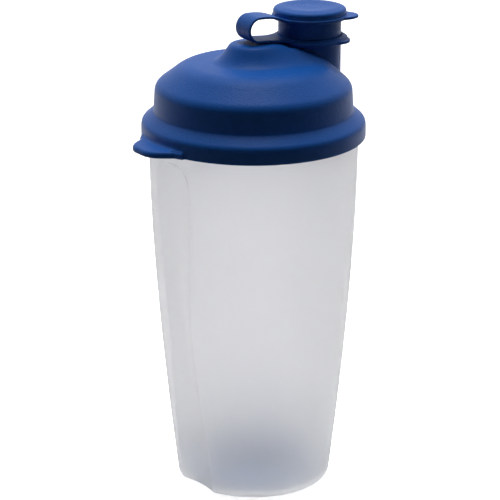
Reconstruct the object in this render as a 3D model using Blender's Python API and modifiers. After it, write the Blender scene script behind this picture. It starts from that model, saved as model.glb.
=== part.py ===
"""Cream shaker: a frosted tumbler, a domed push-on lid with a pour spout, a
tethered spout cap and a loose mixing wheel.

Metres, +Z up. The origin is the middle of the tumbler's underside. The spout
stands towards +X and the lid's pull tab points towards -X.
"""
import math

import bmesh
import bpy
from mathutils import Vector

# Shared values
CLEARANCE = 0.0003
OVERRUN = 0.002
MERGE_DISTANCE = 0.00001
ROUND_STEPS = 64
SMALL_STEPS = 48
CORNER_STEPS = 4

# Tumbler: an upright at the top that tapers faster towards the foot
TUMBLER_HEIGHT = 0.1565
TUMBLER_TOP_R = 0.0431
TUMBLER_BASE_R = 0.0322
TUMBLER_WALL = 0.0013
TUMBLER_FLOOR = 0.0018
TAPER_HEIGHT_SHARE = 0.925
TAPER_POWER = 1.6
FOOT_ROUNDING = 0.0024
FLOOR_ROUNDING = 0.0015
RIM_BEAD = 0.0008
RIM_BEAD_HEIGHT = 0.0024
WALL_RINGS = 7

# Grip flutes: two upright hollows with arched tops and a drawn-in waist
GRIP_COUNT = 2
GRIP_TOP_WIDTH = 0.0216
GRIP_WAIST_WIDTH = 0.0156
GRIP_FOOT_WIDTH = 0.0212
GRIP_WAIST_Z = 0.0720
GRIP_WAIST_SPREAD = 0.0600
GRIP_SINK = 0.0013
GRIP_CREST_DROP = 0.0102
GRIP_ARCH_R = 0.0098
GRIP_LEDGE = 0.0028
GRIP_FAN_RISE = 0.0034
GRIP_TURN = math.radians(7.5)
GRIP_COLUMNS = 12
PLAIN_COLUMNS = 16
ARCH_RINGS = 6
FAN_RINGS = 2

# Lid: skirt over the rim, seal ring inside it, upright wall and low dome
SKIRT_WALL = 0.0020
SKIRT_REACH = 0.0065
SKIRT_DRAFT = 0.0002
SKIRT_HEIGHT = 0.0068
SKIRT_ROUNDING = 0.0030
SKIRT_LIP_ROUNDING = 0.0006
LID_WALL = 0.0016
WALL_SET_IN = 0.0004
WALL_DRAFT = 0.0007
WALL_FOOT_RISE = 0.0041
WALL_FOOT_ROUNDING = 0.0012
WALL_HEIGHT = 0.0106
SHOULDER_ROUNDING = 0.0050
DOME_FLAT_R_SHARE = 0.70
DOME_SLOPE_RISE = 0.0088
DOME_FLAT_RISE = 0.0013
DOME_ROUNDING = 0.0135
DOME_RINGS = 16

# Boss on the dome: a round pad under the strap that runs down round the spout
BOSS_RISE = 0.0072
BOSS_PAD_R = 0.0097
BOSS_COLLAR = 0.0030
BOSS_NECK_BLEND = 0.0140
BOSS_CREST_ROUNDING = 0.0010
BOSS_FOOT_BLEND = 0.0056
BOSS_SIDE_SLOPE = 1.75
BOSS_FALL_START = 0.0035
BOSS_FALL_R = 0.0280
BOSS_DISH = 0.0004
TRACK_ROOF_SLOPE = 1.5

# Spout
SPOUT_OFFSET = 0.0271
SPOUT_R = 0.0130
SPOUT_WALL = 0.0015
SPOUT_NECK = 0.0079

# Pull tab on the skirt
TAB_REACH = 0.0087
TAB_ROOT = 0.0030
TAB_HALF_WIDTH = 0.0129
TAB_ROOT_FLARE = 0.0032
TAB_TIP_SHARE = 0.54
TAB_THICKNESS = 0.0028
TAB_ROUNDING = 0.0090
TAB_FILLET = 0.0035
TAB_EDGE = 0.0012
TAB_TURN = math.radians(1.8)

# Tether ring
RING_WIDTH = 0.00235
RING_SINK = 0.0021
RING_INNER_HEIGHT = 0.0028
RING_OUTER_HEIGHT = 0.0013
TONGUE_THICKNESS = 0.0011
TONGUE_ROOT = 0.0008
TONGUE_STEPS = 8
RING_TONGUE_REACH = 0.0018
RING_TONGUE_HALF_WIDTH = 0.0090
RING_TONGUE_TURN = math.radians(-54)

# Spout cap
CAP_REACH = 0.0027
CAP_PLAY = 0.00055
CAP_WALL = 0.00145
CAP_TOP = 0.0018
CAP_DRAFT = 0.0002
CAP_FLANGE = 0.0006
CAP_FLANGE_HEIGHT = 0.0011
CAP_FLARE_HEIGHT = 0.0005
CAP_FILLET = 0.0006
CAP_SHOULDER_DROP = 0.00075
CAP_ROUNDING = 0.0013
CAP_RIM_R_SHARE = 0.767
CAP_RIM_ROUNDING = 0.0020
CAP_DISH = 0.0005
CAP_TONGUE_REACH = 0.0045
CAP_TONGUE_HALF_WIDTH = 0.0090
CAP_TONGUE_TURN = math.radians(-32)

# Strap between the ring and the cap
STRAP_WIDTH = 0.0110
STRAP_THICKNESS = 0.0010
STRAP_ROOT_THICKNESS = 0.0018
STRAP_FLARE = 0.0026
STRAP_FLARE_LENGTH = 0.0060
STRAP_LIFT = 0.0004
LOOP_R = 0.0049
LOOP_DISTANCE = 0.0270
LOWER_LEAN = 0.0050
UPPER_LEAN = 0.0100
END_LEAN = 0.0030
LOOP_ARC_STEPS = 12
RUN_STEPS = 8

# Mixing wheel
WHEEL_PLAY = 0.0004
WHEEL_WALL = 0.0016
WHEEL_HOOP_HEIGHT = 0.0100
WHEEL_HUB_HEIGHT = 0.0155
WHEEL_HUB_R = 0.0042
WHEEL_HUB_BORE = 0.0020
WHEEL_MID_SHARE = 0.56
WHEEL_VANES = 8

# Places worked out from the sizes
TAPER_HEIGHT = TUMBLER_HEIGHT * TAPER_HEIGHT_SHARE
BEAD_Z = TUMBLER_HEIGHT - RIM_BEAD_HEIGHT
GRIP_CREST_Z = TUMBLER_HEIGHT - GRIP_CREST_DROP
GRIP_ARCH_Z = GRIP_CREST_Z - GRIP_ARCH_R
SKIRT_INNER_R = TUMBLER_TOP_R + RIM_BEAD + CLEARANCE
SKIRT_R = SKIRT_INNER_R + SKIRT_WALL
RIM_SEAT_Z = TUMBLER_HEIGHT + CLEARANCE
SKIRT_BOTTOM_Z = TUMBLER_HEIGHT - SKIRT_REACH
SKIRT_TOP_Z = SKIRT_BOTTOM_Z + SKIRT_HEIGHT
SEAL_R = TUMBLER_TOP_R - TUMBLER_WALL - CLEARANCE
LID_WALL_R = SEAL_R - WALL_SET_IN
LID_SHOULDER_R = LID_WALL_R - WALL_DRAFT
WALL_FOOT_Z = SKIRT_TOP_Z + WALL_FOOT_RISE
SHOULDER_Z = WALL_FOOT_Z + WALL_HEIGHT
DOME_FLAT_R = LID_WALL_R * DOME_FLAT_R_SHARE
DOME_FLAT_Z = SHOULDER_Z + DOME_SLOPE_RISE
CROWN_Z = DOME_FLAT_Z + DOME_FLAT_RISE
BOSS_Z = CROWN_Z + BOSS_RISE
COLLAR_R = SPOUT_R + BOSS_COLLAR
RING_INNER_R = SPOUT_R + CLEARANCE
RING_R = RING_INNER_R + RING_WIDTH
CAP_INNER_R = SPOUT_R + CAP_PLAY
CAP_R = CAP_INNER_R + CAP_WALL
CAP_FLANGE_R = CAP_R + CAP_FLANGE
RING_Z = BOSS_Z - RING_SINK
SPOUT_TOP_Z = RING_Z + RING_INNER_HEIGHT + SPOUT_NECK + CAP_REACH - RING_OUTER_HEIGHT
CAP_BOTTOM_Z = SPOUT_TOP_Z - CAP_REACH
CAP_ROOF_Z = SPOUT_TOP_Z + CLEARANCE
CAP_TOP_Z = CAP_ROOF_Z + CAP_TOP
LOOP_X = SPOUT_OFFSET - LOOP_DISTANCE
LOOP_Z = BOSS_Z + STRAP_LIFT + STRAP_THICKNESS / 2 + LOOP_R
WHEEL_Z = TUMBLER_FLOOR + CLEARANCE
RING_TRACK_R = RING_R + RING_TONGUE_REACH + CLEARANCE
RING_SEAT_Z = RING_Z - CLEARANCE
TRACK_INNER_R = SPOUT_R + CLEARANCE / 3


def remove_all():
    for item in list(bpy.data.objects):
        bpy.data.objects.remove(item, do_unlink=True)


def collection(name):
    group = bpy.data.collections.new(name)
    bpy.context.scene.collection.children.link(group)
    return group


def plastic(name, colour, roughness, alpha=1.0):
    """A moulded plastic of one colour."""
    material = bpy.data.materials.new(name)
    material.use_nodes = True
    shader = material.node_tree.nodes["Principled BSDF"]
    shader.inputs["Base Color"].default_value = (*colour, 1.0)
    shader.inputs["Roughness"].default_value = roughness
    shader.inputs["Metallic"].default_value = 0.0
    shader.inputs["Alpha"].default_value = alpha
    return material


def add_object(name, mesh, group, material=None):
    item = bpy.data.objects.new(name, mesh)
    group.objects.link(item)
    if material:
        mesh.materials.append(material)
    return item


def mesh_from(name, build):
    """A mesh made by a function that fills a bmesh."""
    shape = bmesh.new()
    build(shape)
    mesh = bpy.data.meshes.new(name)
    shape.to_mesh(mesh)
    shape.free()
    return mesh


def smooth(item):
    item.data.shade_smooth()
    item.data.set_sharp_from_angle(angle=math.radians(35))


def rounded(points, radii):
    """The outline through points, with each corner turned on its radius."""
    outline = [Vector(points[0])]
    for before, corner, after, radius in zip(points, points[1:], points[2:], radii):
        before, corner, after = Vector(before), Vector(corner), Vector(after)
        if radius <= 0:
            outline.append(corner)
            continue
        inward = (before - corner).normalized()
        onward = (after - corner).normalized()
        half = inward.angle(onward) / 2
        middle = corner + (inward + onward).normalized() * (radius / math.sin(half))
        first = corner + inward * (radius / math.tan(half)) - middle
        last = corner + onward * (radius / math.tan(half)) - middle
        for step in range(CORNER_STEPS + 1):
            share = step / CORNER_STEPS
            outline.append(middle + first.lerp(last, share).normalized() * radius)
    outline.append(Vector(points[-1]))
    return outline


def turned(name, outline, group, steps=ROUND_STEPS, closed=False, material=None):
    """A profile of radius and height, turned round the Z axis."""
    def build(shape):
        corners = [shape.verts.new((point[0], 0.0, point[1])) for point in outline]
        pairs = list(zip(corners, corners[1:]))
        if closed:
            pairs.append((corners[-1], corners[0]))
        for pair in pairs:
            shape.edges.new(pair)

    item = add_object(name, mesh_from(name, build), group, material)
    screw = item.modifiers.new("turn", "SCREW")
    screw.steps = screw.render_steps = steps
    screw.use_merge_vertices = True
    screw.merge_threshold = MERGE_DISTANCE
    screw.use_smooth_shade = True
    return item


def applied(item):
    """The object with its modifiers made part of its mesh."""
    state = item.evaluated_get(bpy.context.evaluated_depsgraph_get())
    mesh = bpy.data.meshes.new_from_object(state)
    item.modifiers.clear()
    item.data = mesh
    return item


def loft(name, rings, group, material):
    """A closed skin over rings of the same count, capped at both ends."""
    def build(shape):
        rows = [[shape.verts.new(point) for point in ring] for ring in rings]
        for lower, upper in zip(rows, rows[1:]):
            for a, b in zip(range(len(lower)), range(1, len(lower) + 1)):
                b %= len(lower)
                shape.faces.new((lower[a], lower[b], upper[b], upper[a]))
        shape.faces.new(reversed(rows[0]))
        shape.faces.new(rows[-1])

    return add_object(name, mesh_from(name, build), group, material)


def plate(name, outline, thickness, z, group):
    """A flat outline given a thickness, standing on height z."""
    def build(shape):
        face = shape.faces.new([shape.verts.new((x, y, z)) for x, y in outline])
        face.normal_update()
        if face.normal.z > 0:
            face.normal_flip()
        walls = bmesh.ops.extrude_face_region(shape, geom=[face])
        moved = [v for v in walls["geom"] if isinstance(v, bmesh.types.BMVert)]
        bmesh.ops.translate(shape, vec=(0, 0, thickness), verts=moved)
        bmesh.ops.recalc_face_normals(shape, faces=shape.faces[:])

    return add_object(name, mesh_from(name, build), group)


def cylinder(name, radius, low, high, centre_x, group, steps=SMALL_STEPS):
    def build(shape):
        bmesh.ops.create_cone(shape, cap_ends=True, segments=steps,
                              radius1=radius, radius2=radius, depth=high - low)

    item = add_object(name, mesh_from(name, build), group)
    item.location = (centre_x, 0, (low + high) / 2)
    smooth(item)
    return item


def combine(item, operation, other):
    change = item.modifiers.new(other.name, "BOOLEAN")
    change.operation = operation
    change.object = other
    change.solver = "EXACT"
    return change


def make_cutter(item):
    item.hide_render = True
    item.display_type = "WIRE"
    return item


def bevelled(item, width, segments=2):
    bevel = item.modifiers.new("edges", "BEVEL")
    bevel.width = width
    bevel.segments = segments
    bevel.limit_method = "ANGLE"
    bevel.angle_limit = math.radians(50)
    return item


# Tumbler

def tumbler_radius(z):
    taper = max(1 - z / TAPER_HEIGHT, 0.0) ** TAPER_POWER
    return TUMBLER_TOP_R - (TUMBLER_TOP_R - TUMBLER_BASE_R) * taper


def eased(share):
    share = min(max(share, 0.0), 1.0)
    return share * share * (3 - 2 * share)


def grip_half(z):
    """Half a flute's width at a height, least at its waist."""
    end = GRIP_TOP_WIDTH if z > GRIP_WAIST_Z else GRIP_FOOT_WIDTH
    spread = eased(abs(z - GRIP_WAIST_Z) / GRIP_WAIST_SPREAD)
    return (GRIP_WAIST_WIDTH + (end - GRIP_WAIST_WIDTH) * spread) / 2


def grip_reach(z):
    """How far a flute's columns reach to each side, drawn in under its crest."""
    half = grip_half(z)
    over = min(max(z - GRIP_ARCH_Z, 0.0), GRIP_ARCH_R)
    reach = half - GRIP_ARCH_R + math.sqrt(GRIP_ARCH_R ** 2 - over ** 2)
    beyond = min(max(z - GRIP_CREST_Z, 0.0) / GRIP_FAN_RISE, 1.0)
    return reach + (half - reach) * beyond


def grip_depth(turn, z):
    """How deep the wall is pressed in, at a turn from a flute's middle."""
    wall = tumbler_radius(z)
    half = grip_half(z)
    spread = half / wall
    across = min(abs(math.tan(turn) / math.tan(spread)), 1.0)
    floor = wall * math.cos(spread) - GRIP_SINK * (1 - across * across)
    side = max(abs(turn) * wall - (half - GRIP_ARCH_R), 0.0)
    arch_z = GRIP_ARCH_Z + math.sqrt(max(GRIP_ARCH_R ** 2 - side ** 2, 0.0))
    return max(wall - floor / math.cos(turn), 0.0) * eased((arch_z - z) / GRIP_LEDGE)


def tumbler_ring(radius, z, wall_z):
    """Points round the tumbler at one height, pressed in at the flutes.

    The flutes follow the wall at wall_z, so that the foot's round and the
    inside floor are pressed in alike.
    """
    spread = grip_reach(wall_z) / tumbler_radius(wall_z)
    pitch = 2 * math.pi / GRIP_COUNT
    ring = []
    for grip in range(GRIP_COUNT):
        middle = math.pi + GRIP_TURN + grip * pitch
        for column in range(GRIP_COLUMNS):
            turn = spread * math.sin(math.pi * (column / GRIP_COLUMNS - 1 / 2))
            ring.append((radius - grip_depth(turn, wall_z), middle + turn))
        for column in range(PLAIN_COLUMNS):
            turn = spread + (pitch - 2 * spread) * column / PLAIN_COLUMNS
            ring.append((radius, middle + turn))
    return [Vector((r * math.cos(a), r * math.sin(a), z)) for r, a in ring]


def wall_heights(low):
    """Heights up the wall, close together where the flutes arch over."""
    for step in range(WALL_RINGS):
        yield low + (GRIP_ARCH_Z - low) * step / WALL_RINGS
    for step in range(ARCH_RINGS + 1):
        yield GRIP_ARCH_Z + GRIP_ARCH_R * math.sin(math.pi / 2 * step / ARCH_RINGS)
    for step in range(1, FAN_RINGS + 1):
        yield GRIP_CREST_Z + GRIP_FAN_RISE * step / FAN_RINGS


def make_tumbler(group, material):
    rings = []
    for step in range(CORNER_STEPS):
        turn = math.pi / 2 * step / CORNER_STEPS
        z = FOOT_ROUNDING * (1 - math.cos(turn))
        inner = FOOT_ROUNDING * (1 - math.sin(turn))
        rings.append(tumbler_ring(tumbler_radius(FOOT_ROUNDING) - inner, z, FOOT_ROUNDING))
    for z in wall_heights(FOOT_ROUNDING):
        rings.append(tumbler_ring(tumbler_radius(z), z, z))
    top_r = TUMBLER_TOP_R
    rim = [(top_r, BEAD_Z - RIM_BEAD), (top_r + RIM_BEAD, BEAD_Z),
           (top_r + RIM_BEAD, TUMBLER_HEIGHT - RIM_BEAD / 2),
           (top_r + RIM_BEAD / 2, TUMBLER_HEIGHT),
           (top_r - TUMBLER_WALL + RIM_BEAD / 2, TUMBLER_HEIGHT),
           (top_r - TUMBLER_WALL, TUMBLER_HEIGHT - RIM_BEAD / 2)]
    for radius, z in rim:
        rings.append(tumbler_ring(radius, z, TUMBLER_HEIGHT))
    floor_corner = TUMBLER_FLOOR + FLOOR_ROUNDING
    for z in reversed(list(wall_heights(floor_corner))):
        rings.append(tumbler_ring(tumbler_radius(z) - TUMBLER_WALL, z, z))
    corner_r = tumbler_radius(floor_corner) - TUMBLER_WALL
    for step in range(1, CORNER_STEPS + 1):
        turn = math.pi / 2 * step / CORNER_STEPS
        z = floor_corner - FLOOR_ROUNDING * math.sin(turn)
        inner = FLOOR_ROUNDING * (1 - math.cos(turn))
        rings.append(tumbler_ring(corner_r - inner, z, floor_corner))
    tumbler = loft("tumbler", rings, group, material)
    smooth(tumbler)
    return tumbler


# Lid

def smooth_max(a, b, blend):
    near = max(blend - abs(a - b), 0.0) / blend
    return max(a, b) + near * near * blend / 4


def boss_height(x, y, inset):
    """Height of the boss over a point of the lid, without the dome.

    The boss's top falls away on a round towards +X.
    """
    pad = math.hypot(x, y) - BOSS_PAD_R
    collar = math.hypot(x - SPOUT_OFFSET, y) - COLLAR_R
    outside = -smooth_max(-pad, -collar, BOSS_NECK_BLEND) + inset
    slope = (outside + math.hypot(outside, BOSS_CREST_ROUNDING)) / 2
    dish = BOSS_DISH * max(-pad / BOSS_PAD_R, 0.0)
    fall = max(x - BOSS_FALL_START, 0.0)
    top = BOSS_Z - inset - fall * fall / (2 * BOSS_FALL_R)
    return top - dish - slope * BOSS_SIDE_SLOPE


def track_roof(x, y, inset):
    """Height that the lid's inside keeps under, to leave a wall under the ring's track."""
    beyond = math.hypot(x - SPOUT_OFFSET, y) - RING_TRACK_R - inset
    return RING_SEAT_Z - inset + TRACK_ROOF_SLOPE * max(beyond, 0.0)


def raise_boss(item, inset=0.0):
    """Lifts the dome's points to the boss, with a round at its foot."""
    for corner in applied(item).data.vertices:
        x, y, z = corner.co
        if z > SHOULDER_Z - inset:
            z = smooth_max(z, boss_height(x, y, inset), BOSS_FOOT_BLEND)
            corner.co.z = min(z, track_roof(x, y, inset)) if inset else z
    return item


def dome_outline(inset=0.0, flat_rings=DOME_RINGS):
    """Radius and height down the dome and the wall, to the wall's foot."""
    crown = CROWN_Z - inset
    slope = [(0.0, crown), (DOME_FLAT_R, DOME_FLAT_Z - inset),
             (LID_SHOULDER_R - inset, SHOULDER_Z - inset / 2), (LID_WALL_R - inset, WALL_FOOT_Z)]
    corners = rounded(slope, [DOME_ROUNDING, SHOULDER_ROUNDING - inset])
    flat_end = corners[1]
    rings = [Vector((0, crown)).lerp(flat_end, step / flat_rings) for step in range(flat_rings)]
    return rings + corners[1:]


def make_lid(group, cutters, material):
    skirt = [dome_outline()[-2], (LID_WALL_R, WALL_FOOT_Z), (SKIRT_R - SKIRT_DRAFT, SKIRT_TOP_Z),
             (SKIRT_R, SKIRT_BOTTOM_Z), (0.0, SKIRT_BOTTOM_Z)]
    radii = [WALL_FOOT_ROUNDING, SKIRT_ROUNDING, SKIRT_LIP_ROUNDING]
    outline = dome_outline()[:-1] + rounded(skirt, radii)[1:]
    lid = raise_boss(turned("lid", outline, group, material=material))

    spout = cylinder("spout_shape", SPOUT_R, SHOULDER_Z - LID_WALL, SPOUT_TOP_Z, SPOUT_OFFSET, cutters)
    tab = bevelled(plate("tab_shape", tab_outline(), TAB_THICKNESS, SKIRT_BOTTOM_Z, cutters), TAB_EDGE)
    low = SKIRT_BOTTOM_Z - OVERRUN
    hollow = dome_outline(LID_WALL, DOME_RINGS // 2)[:-1]
    hollow += [(SEAL_R - LID_WALL, WALL_FOOT_Z), (SEAL_R - LID_WALL, low), (0.0, low)]
    hollow = raise_boss(turned("lid_hollow", hollow, cutters, SMALL_STEPS), LID_WALL)
    groove = turned("rim_groove", [(SKIRT_INNER_R, RIM_SEAT_Z), (SKIRT_INNER_R, low),
                                   (SEAL_R, low), (SEAL_R, RIM_SEAT_Z)], cutters, closed=True)
    bore = cylinder("spout_bore", SPOUT_R - SPOUT_WALL, SHOULDER_Z - BOSS_RISE,
                    SPOUT_TOP_Z + OVERRUN, SPOUT_OFFSET, cutters)
    track = [(TRACK_INNER_R, CAP_BOTTOM_Z), (RING_TRACK_R, CAP_BOTTOM_Z),
             (RING_TRACK_R, RING_SEAT_Z), (TRACK_INNER_R, RING_SEAT_Z)]
    track = about_spout(turned("ring_track", track, cutters, SMALL_STEPS, closed=True))
    combine(lid, "UNION", make_cutter(spout))
    tab.rotation_euler.z = TAB_TURN
    combine(lid, "UNION", make_cutter(tab))
    combine(lid, "DIFFERENCE", make_cutter(track))
    combine(lid, "DIFFERENCE", make_cutter(hollow))
    combine(lid, "DIFFERENCE", make_cutter(groove))
    combine(lid, "DIFFERENCE", make_cutter(bore))
    return lid


def tab_outline():
    """The pull tab's outline, from inside the skirt out to its rounded tip."""
    root = SKIRT_R - TAB_ROOT / 2
    tip = SKIRT_R + TAB_REACH
    wide, narrow = TAB_HALF_WIDTH, TAB_HALF_WIDTH * TAB_TIP_SHARE
    flare = wide + TAB_ROOT_FLARE
    half = [(-root + TAB_ROOT, flare), (-root, flare), (-SKIRT_R, wide), (-tip, narrow)]
    corners = half + [(x, -y) for x, y in reversed(half)]
    return rounded(corners, [0, TAB_FILLET, TAB_ROUNDING, TAB_ROUNDING, TAB_FILLET, 0])


def tongue_outline(edge_r, reach, half_width):
    """A small lift tongue that swells from inside a round edge to its tip."""
    root = edge_r - TONGUE_ROOT
    spread = half_width / edge_r
    outline = []
    for step in range(-TONGUE_STEPS, TONGUE_STEPS + 1):
        share = step / TONGUE_STEPS
        swell = (reach + TONGUE_ROOT) * (1 - share * share) ** 2
        outline.append((root + swell, spread * share))
    outline += [(root, spread * step / TONGUE_STEPS) for step in range(TONGUE_STEPS - 1, -TONGUE_STEPS, -1)]
    return [(radius * math.cos(turn), radius * math.sin(turn)) for radius, turn in outline]


def about_spout(item):
    item.location.x = SPOUT_OFFSET
    return item


def make_tether_ring(group, cutters, material):
    outline = [(RING_INNER_R, RING_Z + RING_INNER_HEIGHT), (RING_R, RING_Z + RING_OUTER_HEIGHT),
               (RING_R, RING_Z), (RING_INNER_R, RING_Z)]
    ring = about_spout(turned("tether_ring", outline, group, SMALL_STEPS, True, material))
    shape = tongue_outline(RING_R, RING_TONGUE_REACH, RING_TONGUE_HALF_WIDTH)
    low = RING_Z + (RING_OUTER_HEIGHT - TONGUE_THICKNESS) / 2
    tongue = plate("ring_tongue_shape", shape, TONGUE_THICKNESS, low, cutters)
    tongue.rotation_euler.z = RING_TONGUE_TURN
    combine(ring, "UNION", make_cutter(about_spout(tongue)))
    return ring


def make_spout_cap(group, cutters, material):
    rim_r = CAP_R * CAP_RIM_R_SHARE
    flange_top = CAP_BOTTOM_Z + CAP_FLANGE_HEIGHT
    corners = [(0.0, CAP_TOP_Z - CAP_DISH), (rim_r / 2, CAP_TOP_Z - CAP_DISH), (rim_r, CAP_TOP_Z),
               (CAP_R, CAP_TOP_Z - CAP_SHOULDER_DROP),
               (CAP_R + CAP_DRAFT, flange_top + CAP_FLARE_HEIGHT), (CAP_FLANGE_R, flange_top),
               (CAP_FLANGE_R, CAP_BOTTOM_Z), (CAP_INNER_R, CAP_BOTTOM_Z),
               (CAP_INNER_R, CAP_ROOF_Z), (0.0, CAP_ROOF_Z)]
    radii = [0, CAP_RIM_ROUNDING, CAP_ROUNDING, CAP_FILLET, 0, 0, 0, 0]
    cap = about_spout(turned("spout_cap", rounded(corners, radii), group, SMALL_STEPS,
                             material=material))
    shape = tongue_outline(CAP_FLANGE_R, CAP_TONGUE_REACH, CAP_TONGUE_HALF_WIDTH)
    low = CAP_BOTTOM_Z + (CAP_FLANGE_HEIGHT - TONGUE_THICKNESS) / 2
    tongue = plate("cap_tongue_shape", shape, TONGUE_THICKNESS, low, cutters)
    tongue.rotation_euler.z = CAP_TONGUE_TURN
    combine(cap, "UNION", make_cutter(about_spout(tongue)))
    return cap


def bezier(a, b, c, d, share):
    rest = 1 - share
    return (a * rest ** 3 + b * 3 * rest * rest * share
            + c * 3 * rest * share * share + d * share ** 3)


def strap_path():
    """Middle line of the strap in the XZ plane, from the ring to the cap."""
    ring_end = Vector((SPOUT_OFFSET - RING_INNER_R,
                       RING_Z + RING_INNER_HEIGHT - STRAP_ROOT_THICKNESS / 2))
    cap_end = Vector((SPOUT_OFFSET - CAP_INNER_R, CAP_BOTTOM_Z + CAP_FLANGE_HEIGHT / 2))
    low = Vector((LOOP_X, LOOP_Z - LOOP_R))
    high = Vector((LOOP_X, LOOP_Z + LOOP_R))
    lower_lean, upper_lean, end_lean = (Vector((lean, 0)) for lean in (LOWER_LEAN, UPPER_LEAN, END_LEAN))
    path = [bezier(ring_end, ring_end - end_lean, low + lower_lean, low, step / RUN_STEPS)
            for step in range(RUN_STEPS)]
    for step in range(LOOP_ARC_STEPS):
        turn = math.pi * step / LOOP_ARC_STEPS
        path.append(Vector((LOOP_X - LOOP_R * math.sin(turn), LOOP_Z - LOOP_R * math.cos(turn))))
    path += [bezier(high, high + upper_lean, cap_end - end_lean, cap_end, step / RUN_STEPS)
             for step in range(RUN_STEPS + 1)]
    return path


def make_tether_strap(group, cutters, material):
    """A flat band along the path, wider at its ends and thicker at the ring."""
    path = strap_path()
    rings = []
    for number, point in enumerate(path):
        before, after = path[max(number - 1, 0)], path[min(number + 1, len(path) - 1)]
        along = (after - before).normalized()
        from_end = min((point - path[0]).length, (point - path[-1]).length)
        nearness = max(1 - from_end / (STRAP_FLARE_LENGTH + RING_WIDTH), 0.0)
        half = STRAP_WIDTH / 2 + STRAP_FLARE * nearness ** 2
        growth = nearness ** 3 if number < RUN_STEPS else 0.0
        thickness = STRAP_THICKNESS + (STRAP_ROOT_THICKNESS - STRAP_THICKNESS) * growth
        side = Vector((-along.y, along.x)) * thickness / 2
        lower, upper = point - side, point + side
        rings.append([Vector((lower.x, -half, lower.y)), Vector((lower.x, half, lower.y)),
                      Vector((upper.x, half, upper.y)), Vector((upper.x, -half, upper.y))])
    strap = loft("tether_strap", rings, group, material)
    face_outwards(strap)
    smooth(strap)
    middle_z = (RING_Z + CAP_BOTTOM_Z) / 2
    ring_room = cylinder("strap_ring_cut", RING_R + CLEARANCE, RING_Z - LOOP_R, middle_z,
                         SPOUT_OFFSET, cutters)
    cap_room = cylinder("strap_cap_cut", CAP_FLANGE_R + CLEARANCE, middle_z + OVERRUN,
                        CAP_TOP_Z + LOOP_R, SPOUT_OFFSET, cutters)
    combine(strap, "DIFFERENCE", make_cutter(ring_room))
    combine(strap, "DIFFERENCE", make_cutter(cap_room))
    return strap


def face_outwards(item):
    shape = bmesh.new()
    shape.from_mesh(item.data)
    bmesh.ops.recalc_face_normals(shape, faces=shape.faces[:])
    shape.to_mesh(item.data)
    shape.free()


def make_mixing_wheel(group, cutters, material):
    """A hoop, a middle ring and a hub, joined by upright vanes."""
    corner_z = TUMBLER_FLOOR + FLOOR_ROUNDING
    floor_r = tumbler_radius(corner_z) - TUMBLER_WALL - grip_depth(0, corner_z)
    wheel_r = floor_r - FLOOR_ROUNDING - WHEEL_PLAY
    top = WHEEL_Z + WHEEL_HUB_HEIGHT
    low = WHEEL_Z

    def hoop(name, radius, target, thickness=WHEEL_WALL):
        inner = radius - thickness
        return turned(name, [(radius, top), (radius, low), (inner, low), (inner, top)], target,
                      closed=True, material=material if target is group else None)

    wheel = hoop("mixing_wheel", wheel_r, group)
    combine(wheel, "UNION", make_cutter(hoop("wheel_middle", wheel_r * WHEEL_MID_SHARE, cutters)))
    combine(wheel, "UNION", make_cutter(hoop("wheel_hub", WHEEL_HUB_R, cutters,
                                             WHEEL_HUB_R - WHEEL_HUB_BORE)))
    half = WHEEL_WALL / 2
    inner, outer = (WHEEL_HUB_R + WHEEL_HUB_BORE) / 2, wheel_r - half
    for number in range(WHEEL_VANES):
        outline = [(inner, -half), (outer, -half), (outer, half), (inner, half)]
        vane = plate(f"wheel_vane_{number + 1}", outline, WHEEL_HUB_HEIGHT, low, cutters)
        vane.rotation_euler.z = 2 * math.pi * (number + 0.5) / WHEEL_VANES
        combine(wheel, "UNION", make_cutter(vane))
    trim = [(0.0, top), (WHEEL_HUB_R, top), (wheel_r * WHEEL_MID_SHARE, top - half),
            (wheel_r, WHEEL_Z + WHEEL_HOOP_HEIGHT), (wheel_r + OVERRUN, WHEEL_Z + WHEEL_HOOP_HEIGHT),
            (wheel_r + OVERRUN, low - OVERRUN), (0.0, low - OVERRUN)]
    envelope = turned("wheel_envelope", trim, cutters)
    combine(wheel, "INTERSECT", make_cutter(envelope))
    return wheel


def axis_point(name, x, z, group):
    """An empty that marks a joint's axis."""
    point = bpy.data.objects.new(name, None)
    point.location = (x, 0, z)
    point.empty_display_size = SPOUT_R
    group.objects.link(point)
    return point


def carry(carrier, *items):
    """The carrier takes the items along, and they stay where they stand."""
    bpy.context.view_layer.update()
    for item in items:
        item.parent = carrier
        item.matrix_parent_inverse = carrier.matrix_world.inverted()


def main():
    remove_all()
    parts = collection("cream_shaker")
    cutters = collection("cutters")
    blue = plastic("blue_polyethylene", (0.018, 0.072, 0.262), 0.45)
    frosted = plastic("frosted_polypropylene", (0.72, 0.73, 0.76), 0.40, 0.6)
    wheel_blue = plastic("wheel_polypropylene", (0.02, 0.07, 0.27), 0.40)
    tumbler = make_tumbler(parts, frosted)
    lid = make_lid(parts, cutters, blue)
    ring = make_tether_ring(parts, cutters, blue)
    strap = make_tether_strap(parts, cutters, blue)
    cap = make_spout_cap(parts, cutters, blue)
    wheel = make_mixing_wheel(parts, cutters, wheel_blue)
    spout_axis = axis_point("spout_axis", SPOUT_OFFSET, RING_Z, parts)
    flip_axis = axis_point("flip_axis", LOOP_X - LOOP_R, LOOP_Z, parts)
    carry(flip_axis, cap)
    carry(spout_axis, ring, strap, flip_axis)
    carry(lid, spout_axis)
    carry(tumbler, lid, wheel)


main()
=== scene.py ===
"""The look of a cream shaker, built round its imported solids.

A frosted tumbler with finger flutes, a domed blue lid with a pour spout, a cap
tethered to the spout by a ring and a strap, and a loose mixing wheel.

Metres, +Z up. The origin is the middle of the tumbler's underside, the spout
stands towards +X and the lid's pull tab points towards -X.
"""
import math

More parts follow.
